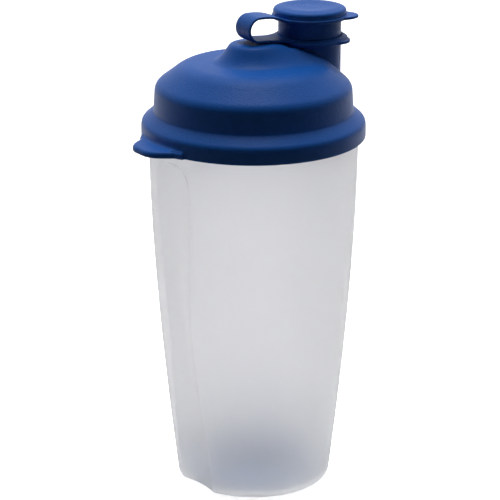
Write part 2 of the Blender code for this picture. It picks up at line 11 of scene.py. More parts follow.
import bmesh
import bpy
import numpy as np
from bpy.props import FloatProperty, FloatVectorProperty, IntProperty, PointerProperty
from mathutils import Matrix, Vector


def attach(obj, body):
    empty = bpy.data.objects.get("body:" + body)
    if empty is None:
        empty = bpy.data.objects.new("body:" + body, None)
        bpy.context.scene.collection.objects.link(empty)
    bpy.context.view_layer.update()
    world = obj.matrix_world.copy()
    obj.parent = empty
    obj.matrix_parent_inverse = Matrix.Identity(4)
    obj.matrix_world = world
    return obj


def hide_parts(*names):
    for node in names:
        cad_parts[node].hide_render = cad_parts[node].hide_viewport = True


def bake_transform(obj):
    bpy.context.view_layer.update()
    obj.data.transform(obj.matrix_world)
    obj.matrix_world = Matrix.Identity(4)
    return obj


bl_info = {
    "name": "Cream Shaker",
    "version": (1, 0, 0),
    "blender": (4, 5, 0),
    "location": "View3D > Sidebar > Shaker",
    "description": "Builds a frosted shaker with a domed lid, a tethered cap and a mixing wheel",
    "category": "Object",
}

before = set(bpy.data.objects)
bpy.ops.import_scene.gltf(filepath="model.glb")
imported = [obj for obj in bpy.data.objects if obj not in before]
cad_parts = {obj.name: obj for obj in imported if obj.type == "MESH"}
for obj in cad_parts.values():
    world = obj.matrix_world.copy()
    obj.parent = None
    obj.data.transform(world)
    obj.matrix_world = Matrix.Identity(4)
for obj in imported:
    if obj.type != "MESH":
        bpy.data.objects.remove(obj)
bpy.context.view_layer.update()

MM = 0.001
CLEARANCE = 0.0003
CORNER_STEPS = 10

# Tumbler: an upright at the top that tapers faster towards the foot
TAPER_HEIGHT_SHARE = 0.925
TAPER_POWER = 1.6
FOOT_ROUNDING = 0.0024
FLOOR_ROUNDING = 0.0015
RIM_BEAD = 0.0008
RIM_BEAD_HEIGHT = 0.0024
RECESS_R = 0.0272
RECESS_DEPTH = 0.0005
RECESS_RUN = 0.0012
GATE_R = 0.0020
WALL_ROWS = 70
ARCH_ROWS = 22
FAN_ROWS = 5

# Grip flutes: hollows with arched tops and a drawn-in waist
GRIP_COUNT = 2
GRIP_WAIST_Z = 0.0720
GRIP_WAIST_SPREAD = 0.0600
GRIP_CREST_DROP = 0.0102
GRIP_ARCH_R = 0.0098
GRIP_LEDGE = 0.0028
GRIP_FAN_RISE = 0.0034
GRIP_TURN = math.radians(7.5)
GRIP_COLUMNS = 40
PLAIN_COLUMNS = 76

# Lid: skirt over the rim, seal ring inside it, upright wall and low dome
SKIRT_REACH = 0.0065
SKIRT_DRAFT = 0.0002
SKIRT_HEIGHT = 0.0068
SKIRT_ROUNDING = 0.0030
LIP_ROUNDING = 0.0006
WALL_SET_IN = 0.0004
WALL_DRAFT = 0.0007
WALL_FOOT_RISE = 0.0041
WALL_FOOT_ROUNDING = 0.0012
WALL_HEIGHT = 0.0106
WALL_GATE = 0.0035
SHOULDER_ROUNDING = 0.0050
DOME_FLAT_R_SHARE = 0.70
DOME_SLOPE_RISE = 0.0088
DOME_FLAT_RISE = 0.0013
DOME_ROUNDING = 0.0135
EDGE_ROUNDING = 0.0004

# Boss on the dome: a round pad under the strap that runs down round the spout
BOSS_COLLAR = 0.0030
BOSS_NECK_BLEND = 0.0140
BOSS_CREST_ROUNDING = 0.0010
BOSS_FOOT_BLEND = 0.0056
BOSS_SIDE_SLOPE = 1.75
BOSS_FALL_START = 0.0035
BOSS_FALL_R = 0.0280
BOSS_DISH = 0.0004
BOSS_SHARE = 0.48
TRACK_EDGE_SLOPE = 3.0
TRACK_EDGE_BLEND = 0.0004

# Spout and pull tab
SPOUT_NECK = 0.0079
SPOUT_FOOT_FILLET = 0.00035
TAB_ROOT = 0.0030
TAB_ROOT_FLARE = 0.0032
TAB_TIP_SHARE = 0.54
TAB_THICKNESS = 0.0028
TAB_ROUNDING = 0.0090
TAB_FILLET = 0.0035
TAB_EDGE = 0.0015
TAB_TURN = math.radians(1.8)
TAB_TOP_FALL = 0.0002
TAB_SPREAD = math.radians(24)
TAB_COLUMNS = 120
LID_COLUMNS = 236

# Ring, cap and strap, one moulding on the real object
RING_SINK = 0.0021
RING_INNER_HEIGHT = 0.0028
RING_OUTER_HEIGHT = 0.0013
TONGUE_THICKNESS = 0.0011
TONGUE_ROOT = 0.0008
TONGUE_FILLET = 0.0001
TONGUE_LIP = 0.0003
RING_TONGUE_EDGE = 0.0003
RING_TONGUE_REACH = 0.0018
RING_TONGUE_HALF_WIDTH = 0.0090
RING_TONGUE_TURN = math.radians(-54)
CAP_REACH = 0.0027
CAP_PLAY = 0.00055
CAP_TOP = 0.0018
CAP_DRAFT = 0.0002
CAP_FLANGE = 0.0006
CAP_FLANGE_HEIGHT = 0.0011
CAP_FLARE_HEIGHT = 0.0005
CAP_FILLET = 0.0008
CAP_SHOULDER_DROP = 0.00075
CAP_ROUNDING = 0.0013
CAP_RIM_R_SHARE = 0.767
CAP_DISH = 0.0005
CAP_TONGUE_EDGE = 0.00035
CAP_TONGUE_REACH = 0.0045
CAP_TONGUE_HALF_WIDTH = 0.0090
CAP_TONGUE_TURN = math.radians(-32)
STRAP_FLARE = 0.0026
STRAP_FLARE_LENGTH = 0.0084
STRAP_ROOT_THICKNESS = 0.0018
STRAP_LIFT = 0.0004
STRAP_ROOT_DEPTH = 0.0004
STRAP_EDGE = 0.00032
LOOP_R = 0.0049
LOOP_DISTANCE = 0.0270
LOWER_LEAN = 0.0050
UPPER_LEAN = 0.0100
END_LEAN = 0.0030
LOOP_ROWS = 36
RUN_ROWS = 30
ROUND_COLUMNS = 180

# Mixing wheel
WHEEL_PLAY = 0.0004
WHEEL_HUB_HEIGHT = 0.0155
WHEEL_HUB_R = 0.0042
WHEEL_HUB_BORE = 0.0020
WHEEL_MID_SHARE = 0.56
WHEEL_EDGE = 0.00035
WHEEL_COLUMNS = 96

# Camera: fitted to the photograph's perspective
CAMERA_TURN = math.radians(-31.5)
CAMERA_DISTANCE = 0.8627
CAMERA_HEIGHT = 0.3933
CAMERA_DIP = math.radians(18.8)
CAMERA_SENSOR = 36.0
CAMERA_LENS = 156.46
CAMERA_SHIFT = -3.5 / 500

# Studio: white paper, a soft sky behind the object and one disk lamp overhead
FLOOR_REACH = 3.0
PAPER_WASH = 0.7
PAPER_BOUNCE = "#303030"
SKY_BACK = 0.8
SKY_RISE = 0.6
SKY_LEVEL = 2.1
LAMP_PLACE = (0.05, 0.085, 0.98)
LAMP_AIM = (0, 0, 0.15)
LAMP_SIZE = 0.28


def linear(hex_colour):
    """Linear red, green and blue of an sRGB hex colour."""
    parts = [int(hex_colour[i:i + 2], 16) / 255 for i in (1, 3, 5)]
    return tuple(p / 12.92 if p <= 0.04045 else ((p + 0.055) / 1.055) ** 2.4 for p in parts)


def length(name, description, default):
    return FloatProperty(name=name, description=description, default=default, min=0.0,
                         precision=4, step=0.01, unit="LENGTH")


def colour(name, description, default):
    return FloatVectorProperty(name=name, description=description, default=linear(default),
                               min=0.0, max=1.0, size=3, subtype="COLOR")


class TumblerSettings(bpy.types.PropertyGroup):
    height: length("Height", "From the table to the rim", 0.1565)
    top_r: length("Rim radius", "Outside radius under the rim's bead", 0.0431)
    base_r: length("Foot radius", "Outside radius at the foot", 0.0322)
    wall: length("Wall", "Thickness of the wall", 0.0013)
    floor: length("Floor", "Thickness of the floor", 0.0018)
    grip_top_width: length("Flute top", "Width of a flute under its arch", 0.0216)
    grip_waist_width: length("Flute waist", "Least width of a flute", 0.0156)
    grip_foot_width: length("Flute foot", "Width of a flute at the foot", 0.0212)
    grip_sink: length("Flute depth", "How far a flute's middle lies under the chord", 0.0013)
    plastic: colour("Polypropylene", "Natural frosted polypropylene", "#EFEFF0")


class LidSettings(bpy.types.PropertyGroup):
    skirt_wall: length("Skirt", "Thickness of the skirt", 0.0020)
    wall: length("Wall", "Thickness of the dome and its wall", 0.0016)
    boss_rise: length("Boss", "Height of the boss over the crown", 0.0072)
    boss_pad_r: length("Boss pad", "Radius of the pad under the strap", 0.0097)
    spout_offset: length("Spout offset", "From the lid's axis to the spout's", 0.0271)
    spout_r: length("Spout radius", "Outside radius of the spout", 0.0130)
    spout_wall: length("Spout wall", "Thickness of the spout", 0.0015)
    tab_reach: length("Tab reach", "How far the pull tab stands out", 0.0087)
    tab_half_width: length("Tab half width", "Half the pull tab's width", 0.0129)
    plastic: colour("Polyethylene", "Blue of the lid and its tethered cap", "#124A93")


class TetherSettings(bpy.types.PropertyGroup):
    ring_width: length("Ring", "Width of the ring round the spout", 0.00235)
    cap_wall: length("Cap wall", "Thickness of the cap's side", 0.00145)
    strap_width: length("Strap width", "Width of the strap at its loop", 0.0110)
    strap_thickness: length("Strap thickness", "Thickness of the strap", 0.0010)


class WheelSettings(bpy.types.PropertyGroup):
    wall: length("Wall", "Thickness of the hoops and vanes", 0.0016)
    hoop_height: length("Hoop height", "Height of the outer hoop", 0.0100)
    vanes: IntProperty(name="Vanes", description="Number of upright vanes", default=8, min=3)
    plastic: colour("Polypropylene", "Pale blue of the wheel", "#C3D1EC")


class StageSettings(bpy.types.PropertyGroup):
    floor: colour("Floor", "Colour of the floor", "#FFFFFF")
    overhead: FloatProperty(name="Overhead light", description="Power of the softbox overhead",
                            default=3.9, min=0.0, unit="POWER")


class ShakerSettings(bpy.types.PropertyGroup):
    tumbler: PointerProperty(type=TumblerSettings)
    lid: PointerProperty(type=LidSettings)
    tether: PointerProperty(type=TetherSettings)
    wheel: PointerProperty(type=WheelSettings)
    stage: PointerProperty(type=StageSettings)


# Places worked out from the sizes

class Places:
    """Radii and heights that several pieces share."""

    def __init__(self, sizes):
        tumbler, lid, tether = sizes.tumbler, sizes.lid, sizes.tether
        self.skirt_inner_r = tumbler.top_r + RIM_BEAD + CLEARANCE
        self.skirt_r = self.skirt_inner_r + lid.skirt_wall
        self.seat_z = tumbler.height + CLEARANCE
        self.skirt_bottom = tumbler.height - SKIRT_REACH
        self.skirt_top = self.skirt_bottom + SKIRT_HEIGHT
        self.seal_r = tumbler.top_r - tumbler.wall - CLEARANCE
        self.wall_r = self.seal_r - WALL_SET_IN
        self.wall_foot = self.skirt_top + WALL_FOOT_RISE
        self.shoulder_z = self.wall_foot + WALL_HEIGHT
        self.dome_flat_z = self.shoulder_z + DOME_SLOPE_RISE
        self.crown_z = self.dome_flat_z + DOME_FLAT_RISE
        self.boss_z = self.crown_z + lid.boss_rise
        self.ring_inner_r = lid.spout_r + CLEARANCE
        self.ring_r = self.ring_inner_r + tether.ring_width
        self.ring_z = self.boss_z - RING_SINK
        self.spout_top = (self.ring_z + RING_INNER_HEIGHT + SPOUT_NECK + CAP_REACH
                          - RING_OUTER_HEIGHT)
        self.cap_inner_r = lid.spout_r + CAP_PLAY
        self.cap_r = self.cap_inner_r + tether.cap_wall
        self.cap_bottom = self.spout_top - CAP_REACH
        self.cap_top = self.spout_top + CLEARANCE + CAP_TOP
        self.loop_x = lid.spout_offset - LOOP_DISTANCE
        self.loop_z = self.boss_z + STRAP_LIFT + tether.strap_thickness / 2 + LOOP_R


# Meshes

def eased(share):
    share = np.clip(share, 0.0, 1.0)
    return share * share * (3 - 2 * share)


def smooth_max(a, b, blend):
    near = np.maximum(blend - np.abs(a - b), 0.0) / blend
    return np.maximum(a, b) + near * near * blend / 4


def rounded(points, radii, steps=CORNER_STEPS):
    """The outline through points, with each corner turned on its radius."""
    outline = [Vector(points[0])]
    for before, corner, after, radius in zip(points, points[1:], points[2:], radii):
        before, corner, after = Vector(before), Vector(corner), Vector(after)
        if radius <= 0:
            outline.append(corner)
            continue
        inward = (before - corner).normalized()
        onward = (after - corner).normalized()
        half = inward.angle(onward) / 2
        middle = corner + (inward + onward).normalized() * (radius / math.sin(half))
        first = corner + inward * (radius / math.tan(half)) - middle
        last = corner + onward * (radius / math.tan(half)) - middle
        outline += [middle + first.slerp(last, step / steps).normalized() * radius
                    for step in range(steps + 1)]
    outline.append(Vector(points[-1]))
    return np.array([tuple(point) for point in outline])


def filled(outline, spacing):
    """The outline with its long runs cut to the spacing."""
    points = [outline[0]]
    for before, after in zip(outline, outline[1:]):
        count = max(1, math.ceil(np.linalg.norm(after - before) / spacing))
        points += [before + (after - before) * step / count for step in range(1, count + 1)]
    return np.array(points)


def turned_rows(outline, turns, centre_x=0.0):
    """Rows of points: an outline of radius and height turned round an upright axis.

    A radius is one number for the whole turn, or one for each column.
    """
    return [np.column_stack((centre_x + radius * np.cos(turns), radius * np.sin(turns),
                             np.full(len(turns), z))) for radius, z in outline]


def skin(name, rows, closed=False, first_pole=None, last_pole=None):
    """A mesh over rows of points that run round, with a point at a pole."""
    count = len(rows[0])
    points = [tuple(point) for row in rows for point in row]
    faces = []
    starts = [index * count for index in range(len(rows))]
    pairs = list(zip(starts, starts[1:])) + ([(starts[-1], starts[0])] if closed else [])
    for lower, upper in pairs:
        for here in range(count):
            after = (here + 1) % count
            faces.append((lower + here, lower + after, upper + after, upper + here))
    for pole, start in ((first_pole, starts[0]), (last_pole, starts[-1])):
        if pole is not None:
            points.append(tuple(pole))
            faces += [(start + here, start + (here + 1) % count, len(points) - 1)
                      for here in range(count)]
    mesh = bpy.data.meshes.new(name)
    mesh.from_pydata(points, [], faces)
    return add_object(name, face_outwards(mesh))


def face_outwards(mesh):
    shape = bmesh.new()
    shape.from_mesh(mesh)
    bmesh.ops.recalc_face_normals(shape, faces=shape.faces[:])
    shape.to_mesh(mesh)
    shape.free()
    return mesh


def add_object(name, mesh):
    item = bpy.data.objects.new(name, mesh)
    bpy.context.scene.collection.objects.link(item)
    return item


def smooth(item, angle=50):
    item.data.shade_smooth()
    item.data.set_sharp_from_angle(angle=math.radians(angle))
    return item


def give_material(item, material):
    item.data.materials.clear()
    item.data.materials.append(material)
    return item


def brim(base, widths, top, bottom, fillet, edge, lip, fall=0.0):
    """Rows down a round wall that reaches out to a tab where widths say so.

    Each row is its radii and its height. The tab has a fillet at its root, a
    round edge on top and a smaller one below.
    """
    fillet_w, edge_w = np.minimum(fillet, widths / 2), np.minimum(edge, widths / 2)
    lip_w = np.minimum(lip, widths / 2 + lip)
    rows = []
    for turn in np.linspace(0, math.pi / 2, 6):
        rows.append((base + fillet_w * (1 - math.cos(turn)), top + fillet * (1 - math.sin(turn))))
    for share in (0.25, 0.5, 0.75, 1.0):
        rows.append((base + fillet_w + (widths - fillet_w - edge_w) * share, top - fall * share))
    for turn in np.linspace(0, math.pi / 2, 6)[1:]:
        rows.append((base + widths - edge_w * (1 - math.sin(turn)),
                     top - fall - edge * (1 - math.cos(turn))))
    for turn in np.linspace(0, math.pi / 2, 6):
        rows.append((base + widths - lip_w * (1 - math.cos(turn)),
                     bottom + lip * (1 - math.sin(turn))))
    return rows


# Tumbler

class TumblerForm:
    """The wall of the tumbler and the flutes pressed into it."""

    def __init__(self, sizes):
        self.sizes = sizes
        self.taper_height = sizes.height * TAPER_HEIGHT_SHARE
        self.crest_z = sizes.height - GRIP_CREST_DROP
        self.arch_z = self.crest_z - GRIP_ARCH_R

    def radius(self, z):
        taper = max(1 - z / self.taper_height, 0.0) ** TAPER_POWER
        return self.sizes.top_r - (self.sizes.top_r - self.sizes.base_r) * taper

    def grip_half(self, z):
        sizes = self.sizes
        end = sizes.grip_top_width if z > GRIP_WAIST_Z else sizes.grip_foot_width
        spread = eased(abs(z - GRIP_WAIST_Z) / GRIP_WAIST_SPREAD)
        return (sizes.grip_waist_width + (end - sizes.grip_waist_width) * spread) / 2

    def grip_reach(self, z):
        """How far a flute's columns reach to each side, drawn in under its crest."""
        half = self.grip_half(z)
        over = min(max(z - self.arch_z, 0.0), GRIP_ARCH_R)
        reach = half - GRIP_ARCH_R + math.sqrt(GRIP_ARCH_R ** 2 - over ** 2)
        beyond = min(max(z - self.crest_z, 0.0) / GRIP_FAN_RISE, 1.0)
        return reach + (half - reach) * beyond

    def grip_depth(self, turn, z):
        """How deep the wall is pressed in, at a turn from a flute's middle."""
        wall, half = self.radius(z), self.grip_half(z)
        spread = half / wall
        across = np.minimum(np.abs(np.tan(turn) / math.tan(spread)), 1.0)
        floor = wall * math.cos(spread) - self.sizes.grip_sink * (1 - across * across)
        side = np.maximum(np.abs(turn) * wall - (half - GRIP_ARCH_R), 0.0)
        arch = self.arch_z + np.sqrt(np.maximum(GRIP_ARCH_R ** 2 - side ** 2, 0.0))
        return np.maximum(wall - floor / np.cos(turn), 0.0) * eased((arch - z) / GRIP_LEDGE)

    def row(self, radius, z, wall_z, pressed=True):
        """Points round the tumbler, with the flutes that the wall has at wall_z."""
        spread = self.grip_reach(wall_z) / self.radius(wall_z)
        pitch = 2 * math.pi / GRIP_COUNT
        across = spread * np.sin(math.pi * (np.arange(GRIP_COLUMNS) / GRIP_COLUMNS - 0.5))
        plain = spread + (pitch - 2 * spread) * np.arange(PLAIN_COLUMNS) / PLAIN_COLUMNS
        depth = self.grip_depth(across, wall_z) if pressed else 0 * across
        radii = np.tile(np.concatenate((radius - depth, 0 * plain + radius)), GRIP_COUNT)
        one_pitch = np.concatenate((across, plain))
        turns = np.concatenate([math.pi + GRIP_TURN + grip * pitch + one_pitch
                                for grip in range(GRIP_COUNT)])
        return np.column_stack((radii * np.cos(turns), radii * np.sin(turns), 0 * turns + z))

    def wall_heights(self, low):
        """Heights up the wall, close together where the flutes arch over."""
        yield from np.linspace(low, self.arch_z, WALL_ROWS, endpoint=False)
        yield from self.arch_z + GRIP_ARCH_R * np.sin(np.linspace(0, math.pi / 2, ARCH_ROWS))
        yield from np.linspace(self.crest_z, self.crest_z + GRIP_FAN_RISE, FAN_ROWS)[1:]


def make_tumbler(sizes):
    form = TumblerForm(sizes)
    foot_r = form.radius(FOOT_ROUNDING)
    under = [(GATE_R * 0.7, RECESS_DEPTH * 0.3), (GATE_R, RECESS_DEPTH * 0.5),
             (GATE_R * 1.2, RECESS_DEPTH), (RECESS_R * 0.4, RECESS_DEPTH),
             (RECESS_R * 0.7, RECESS_DEPTH), (RECESS_R - RECESS_RUN, RECESS_DEPTH),
             (RECESS_R - RECESS_RUN / 2, RECESS_DEPTH * 0.8),
             (RECESS_R - RECESS_RUN / 4, RECESS_DEPTH * 0.2), (RECESS_R, 0.0)]
    rows = [form.row(radius, z, FOOT_ROUNDING, pressed=False) for radius, z in under]
    for turn in np.linspace(0, math.pi / 2, CORNER_STEPS, endpoint=False):
        inner = FOOT_ROUNDING * (1 - math.sin(turn))
        rows.append(form.row(foot_r - inner, FOOT_ROUNDING * (1 - math.cos(turn)), FOOT_ROUNDING))
    rows += [form.row(form.radius(z), z, z) for z in form.wall_heights(FOOT_ROUNDING)]
    top_r, height, bead_z = sizes.top_r, sizes.height, sizes.height - RIM_BEAD_HEIGHT
    rim = rounded([(top_r, bead_z - RIM_BEAD), (top_r + RIM_BEAD, bead_z),
                   (top_r + RIM_BEAD, height), (top_r - sizes.wall, height),
                   (top_r - sizes.wall, bead_z)],
                  [RIM_BEAD / 2, RIM_BEAD * 0.8, RIM_BEAD * 0.6], 6)
    rows += [form.row(radius, z, height) for radius, z in rim]
    corner = sizes.floor + FLOOR_ROUNDING
    rows += [form.row(form.radius(z) - sizes.wall, z, z)
             for z in reversed(list(form.wall_heights(corner)))]
    corner_r = form.radius(corner) - sizes.wall
    for turn in np.linspace(0, math.pi / 2, CORNER_STEPS)[1:]:
        rows.append(form.row(corner_r - FLOOR_ROUNDING * (1 - math.cos(turn)),
                             corner - FLOOR_ROUNDING * math.sin(turn), corner))
    inside_r = corner_r - FLOOR_ROUNDING * 2.5
    rows += [form.row(inside_r * share, sizes.floor, corner, pressed=False)
             for share in (1.0, 0.7, 0.4, 0.15)]
    tumbler = skin("tumbler_shell", rows, first_pole=(0, 0, RECESS_DEPTH * 0.3),
                   last_pole=(0, 0, sizes.floor))
    return smooth(tumbler, 35)


# Lid

class LidForm:
    """The dome with its boss, seen as a skin over a profile unrolled flat."""

    def __init__(self, sizes, inset=0.0):
        lid, self.places, self.inset = sizes.lid, Places(sizes), inset
        self.sizes, places = lid, self.places
        wall_r = places.wall_r if inset == 0 else places.seal_r
        foot = (wall_r - inset, places.wall_foot)
        shoulder = (places.wall_r - WALL_DRAFT - inset, places.shoulder_z - inset / 2)
        share = WALL_GATE / (shoulder[1] - foot[1])
        self.gate = tuple(Vector(foot).lerp(Vector(shoulder), share))
        outline = [(0.0, places.crown_z - inset),
                   (places.wall_r * DOME_FLAT_R_SHARE, places.dome_flat_z - inset),
                   shoulder, self.gate]
        outline = rounded(outline, [DOME_ROUNDING, SHOULDER_ROUNDING - inset], 40)
        self.radii, self.heights = outline[:, 0], outline[:, 1]
        steps = np.hypot(np.diff(self.radii), np.diff(self.heights))
        self.run = np.concatenate(([0.0], np.cumsum(steps)))

    def boss_height(self, x, y):
        lid, inset = self.sizes, self.inset
        pad = np.hypot(x, y) - lid.boss_pad_r
        collar = np.hypot(x - lid.spout_offset, y) - lid.spout_r - BOSS_COLLAR
        outside = inset - smooth_max(-pad, -collar, BOSS_NECK_BLEND)
        slope = (outside + np.hypot(outside, BOSS_CREST_ROUNDING)) / 2
        dish = BOSS_DISH * np.maximum(-pad / lid.boss_pad_r, 0.0)
        fall = np.maximum(x - BOSS_FALL_START, 0.0)
        top = self.places.boss_z - inset - fall * fall / (2 * BOSS_FALL_R)
        return top - dish - slope * BOSS_SIDE_SLOPE

    def lifted(self, x, y, z):
        """The dome's height with the boss, and the ring's track cut into it."""
        z = smooth_max(z, self.boss_height(x, y), BOSS_FOOT_BLEND)
        beyond = np.hypot(x - self.sizes.spout_offset, y) - (
            self.places.ring_r + RING_TONGUE_REACH + CLEARANCE + self.inset)
        track = (self.places.ring_z - CLEARANCE - self.inset
                 + TRACK_EDGE_SLOPE * np.maximum(beyond, 0.0))
        return -smooth_max(-z, -track, TRACK_EDGE_BLEND)

    def over(self, x, y):
        """Height of the skin over a point of the plan."""
        z = np.interp(np.hypot(x, y), self.radii, self.heights)
        return self.lifted(x, y, z)

    def circle(self, radius, turns):
        """A circle round the spout's axis in plan."""
        return self.sizes.spout_offset + radius * np.cos(turns), radius * np.sin(turns)

    def rows(self, radius, turns, shares):
        """Rows over the dome, from a circle round the spout out to the wall."""
        x, y = self.circle(radius, turns)
        run, turn = np.interp(np.hypot(x, y), self.radii, self.run), np.arctan2(y, x)
        start = np.stack((run * np.cos(turn), run * np.sin(turn)))
        end = self.run[-1] * np.stack((np.cos(turns), np.sin(turns)))
        for share in shares:
            flat = start + (end - start) * share
            run = np.maximum(np.hypot(*flat), 1e-9)
            x, y = flat / run * np.interp(run, self.run, self.radii)
            z = np.interp(run, self.run, self.heights)
            yield np.column_stack((x, y, self.lifted(x, y, z)))


def tab_outline(skirt_r, sizes):
    """The pull tab's outline, from inside the skirt out to its rounded tip."""
    root, tip = skirt_r - TAB_ROOT / 2, skirt_r + sizes.tab_reach
    wide, narrow = sizes.tab_half_width, sizes.tab_half_width * TAB_TIP_SHARE
    half = [(TAB_ROOT - root, wide + TAB_ROOT_FLARE), (-root, wide + TAB_ROOT_FLARE),
            (-skirt_r, wide), (-tip, narrow)]
    corners = half + [(x, -y) for x, y in reversed(half)]
    return rounded(corners, [0, TAB_FILLET, TAB_ROUNDING, TAB_ROUNDING, TAB_FILLET, 0])


def tab_widths(turns, skirt_r, sizes):
    """How far the tab stands out of the skirt at each turn."""
    outline = filled(tab_outline(skirt_r, sizes), 0.2 * MM)
    angles = np.arctan2(outline[:, 1], -outline[:, 0])
    radii = np.hypot(outline[:, 0], outline[:, 1])
    order = np.argsort(angles)
    away = np.arctan2(np.sin(turns - TAB_TURN), -np.cos(turns - TAB_TURN))
    return np.maximum(np.interp(away, angles[order], radii[order], left=0, right=0) - skirt_r, 0.0)


def lid_turns():
    """Column turns of the lid, close together at the pull tab."""
    tab_start, tab_end = math.pi - TAB_SPREAD, math.pi + TAB_SPREAD
    tab = np.linspace(tab_start, tab_end, TAB_COLUMNS, endpoint=False)
    rest = np.linspace(tab_end, tab_start + 2 * math.pi, LID_COLUMNS, endpoint=False)
    return np.concatenate((tab, rest))


def dome_shares(fine, coarse):
    """Row shares out from the spout, close together over the boss."""
    near = np.linspace(0, BOSS_SHARE, fine, endpoint=False)
    return np.concatenate((near, np.linspace(BOSS_SHARE, 1, coarse)))


def make_lid(sizes):
    lid, places, turns = sizes.lid, Places(sizes), lid_turns()
    outer, inner = LidForm(sizes), LidForm(sizes, lid.wall)
    bore_r, spout_r = lid.spout_r - lid.spout_wall, lid.spout_r
    top = places.spout_top

    def upright(radius, low, shares):
        x, y = outer.circle(radius, turns)
        high = top - EDGE_ROUNDING
        return [np.column_stack((x, y, low + (high - low) * share)) for share in shares]

    rows = upright(bore_r, inner.over(*inner.circle(bore_r, turns)) + EDGE_ROUNDING,
                   np.linspace(0, 1, 8))
    edge = rounded([(bore_r, top - 0.001), (bore_r, top), (spout_r, top), (spout_r, top - 0.001)],
                   [EDGE_ROUNDING, EDGE_ROUNDING], 6)[1:-1]
    rows += turned_rows(edge, turns, lid.spout_offset)
    foot = outer.over(*outer.circle(spout_r, turns))
    rows += reversed(upright(spout_r, foot + SPOUT_FOOT_FILLET, np.linspace(0, 1, 16)[:-1]))
    for turn in (30, 60):
        radius = spout_r + SPOUT_FOOT_FILLET * (1 - math.cos(math.radians(turn)))
        x, y = outer.circle(radius, turns)
        lift = SPOUT_FOOT_FILLET * (1 - math.sin(math.radians(turn)))
        rows.append(np.column_stack((x, y, outer.over(x, y) + lift)))
    rows += outer.rows(spout_r + SPOUT_FOOT_FILLET, turns, dome_shares(88, 52))

    tab_top = places.skirt_bottom + TAB_THICKNESS
    skirt = [outer.gate, (places.wall_r, places.wall_foot),
             (places.skirt_r - SKIRT_DRAFT, places.skirt_top),
             (places.skirt_r, tab_top + TAB_EDGE)]
    skirt = filled(rounded(skirt, [WALL_FOOT_ROUNDING, SKIRT_ROUNDING]), 0.6 * MM)
    rows += turned_rows(skirt[1:-1], turns)
    widths = tab_widths(turns, places.skirt_r, lid)
    rows += turned_rows(brim(places.skirt_r, widths, tab_top, places.skirt_bottom, TAB_EDGE,
                             TAB_EDGE, LIP_ROUNDING, TAB_TOP_FALL), turns)
    low, seal_in = places.skirt_bottom, places.seal_r - lid.wall
    under = [(places.skirt_inner_r, low), (places.skirt_inner_r, places.seat_z),
             (places.seal_r, places.seat_z), (places.seal_r, low), (seal_in, low), inner.gate]
    under = [(places.skirt_r - LIP_ROUNDING, low), *under]
    under = filled(rounded(under, [EDGE_ROUNDING] * 5, 5), 1.2 * MM)
    rows += turned_rows(under[1:-1], turns)
    rows += reversed(list(inner.rows(bore_r + EDGE_ROUNDING, turns, dome_shares(44, 34))))
    return smooth(skin("lid_shell", rows, closed=True), 60)


# Ring, cap and strap

def tongue_widths(turns, middle, edge_r, reach, half_width):
    """How far a lift tongue stands out of a round edge at each turn."""
    away = np.arctan2(np.sin(turns - middle), np.cos(turns - middle))
    share = np.clip(np.abs(away) * edge_r / half_width, 0, 1)
    return np.maximum((reach + TONGUE_ROOT) * (1 - share * share) ** 2 - TONGUE_ROOT, 0.0)


def make_tether_ring(sizes):
    places, centre = Places(sizes), sizes.lid.spout_offset
    turns = np.linspace(0, 2 * math.pi, ROUND_COLUMNS, endpoint=False)
    low, inner_r, ring_r = places.ring_z, places.ring_inner_r, places.ring_r
    top = rounded([(inner_r, low), (inner_r, low + RING_INNER_HEIGHT),
                   (ring_r, low + RING_OUTER_HEIGHT), (ring_r, low)], [EDGE_ROUNDING, 0], 5)
    widths = tongue_widths(turns, RING_TONGUE_TURN, ring_r, RING_TONGUE_REACH,
                           RING_TONGUE_HALF_WIDTH)
    rows = turned_rows(filled(top[:-2], 0.7 * MM), turns, centre)
    tongue_top = low + (RING_OUTER_HEIGHT + TONGUE_THICKNESS) / 2
    rows += turned_rows(brim(ring_r, widths, tongue_top, low, TONGUE_FILLET, RING_TONGUE_EDGE,
                             TONGUE_LIP), turns, centre)
    return smooth(skin("tether_ring_dress", rows, closed=True), 45)


def make_spout_cap(sizes):
    places, centre = Places(sizes), sizes.lid.spout_offset
    turns = np.linspace(0, 2 * math.pi, ROUND_COLUMNS, endpoint=False)
    top, low, cap_r = places.cap_top, places.cap_bottom, places.cap_r
    rim_r, flange_r = cap_r * CAP_RIM_R_SHARE, cap_r + CAP_FLANGE
    flange_top = low + CAP_FLANGE_HEIGHT
    roof = top - CAP_TOP
    dish = [(rim_r * share, top - CAP_DISH * (1 - eased((share - 0.35) / 0.65)))
            for share in np.linspace(0.1, 1, 12)]
    outside = rounded([dish[-1], (cap_r, top - CAP_SHOULDER_DROP),
                       (cap_r + CAP_DRAFT, flange_top + CAP_FLARE_HEIGHT), (flange_r, flange_top)],
                      [CAP_ROUNDING, CAP_FILLET], 12)
    rows = turned_rows(dish, turns, centre)
    rows += turned_rows(filled(outside[1:-1], 0.5 * MM), turns, centre)
    widths = tongue_widths(turns, CAP_TONGUE_TURN, flange_r, CAP_TONGUE_REACH,
                           CAP_TONGUE_HALF_WIDTH)
    rows += turned_rows(brim(flange_r, widths, flange_top, low, TONGUE_FILLET, CAP_TONGUE_EDGE,
                             TONGUE_LIP), turns, centre)
    inside = rounded([(flange_r, low), (places.cap_inner_r, low), (places.cap_inner_r, roof),
                      (0.0, roof)], [EDGE_ROUNDING, EDGE_ROUNDING], 5)
    rows += turned_rows(filled(inside[1:-1], 1.5 * MM), turns, centre)
    cap = skin("spout_cap_dress", rows, first_pole=(centre, 0, top - CAP_DISH),
               last_pole=(centre, 0, roof))
    return smooth(cap, 45)


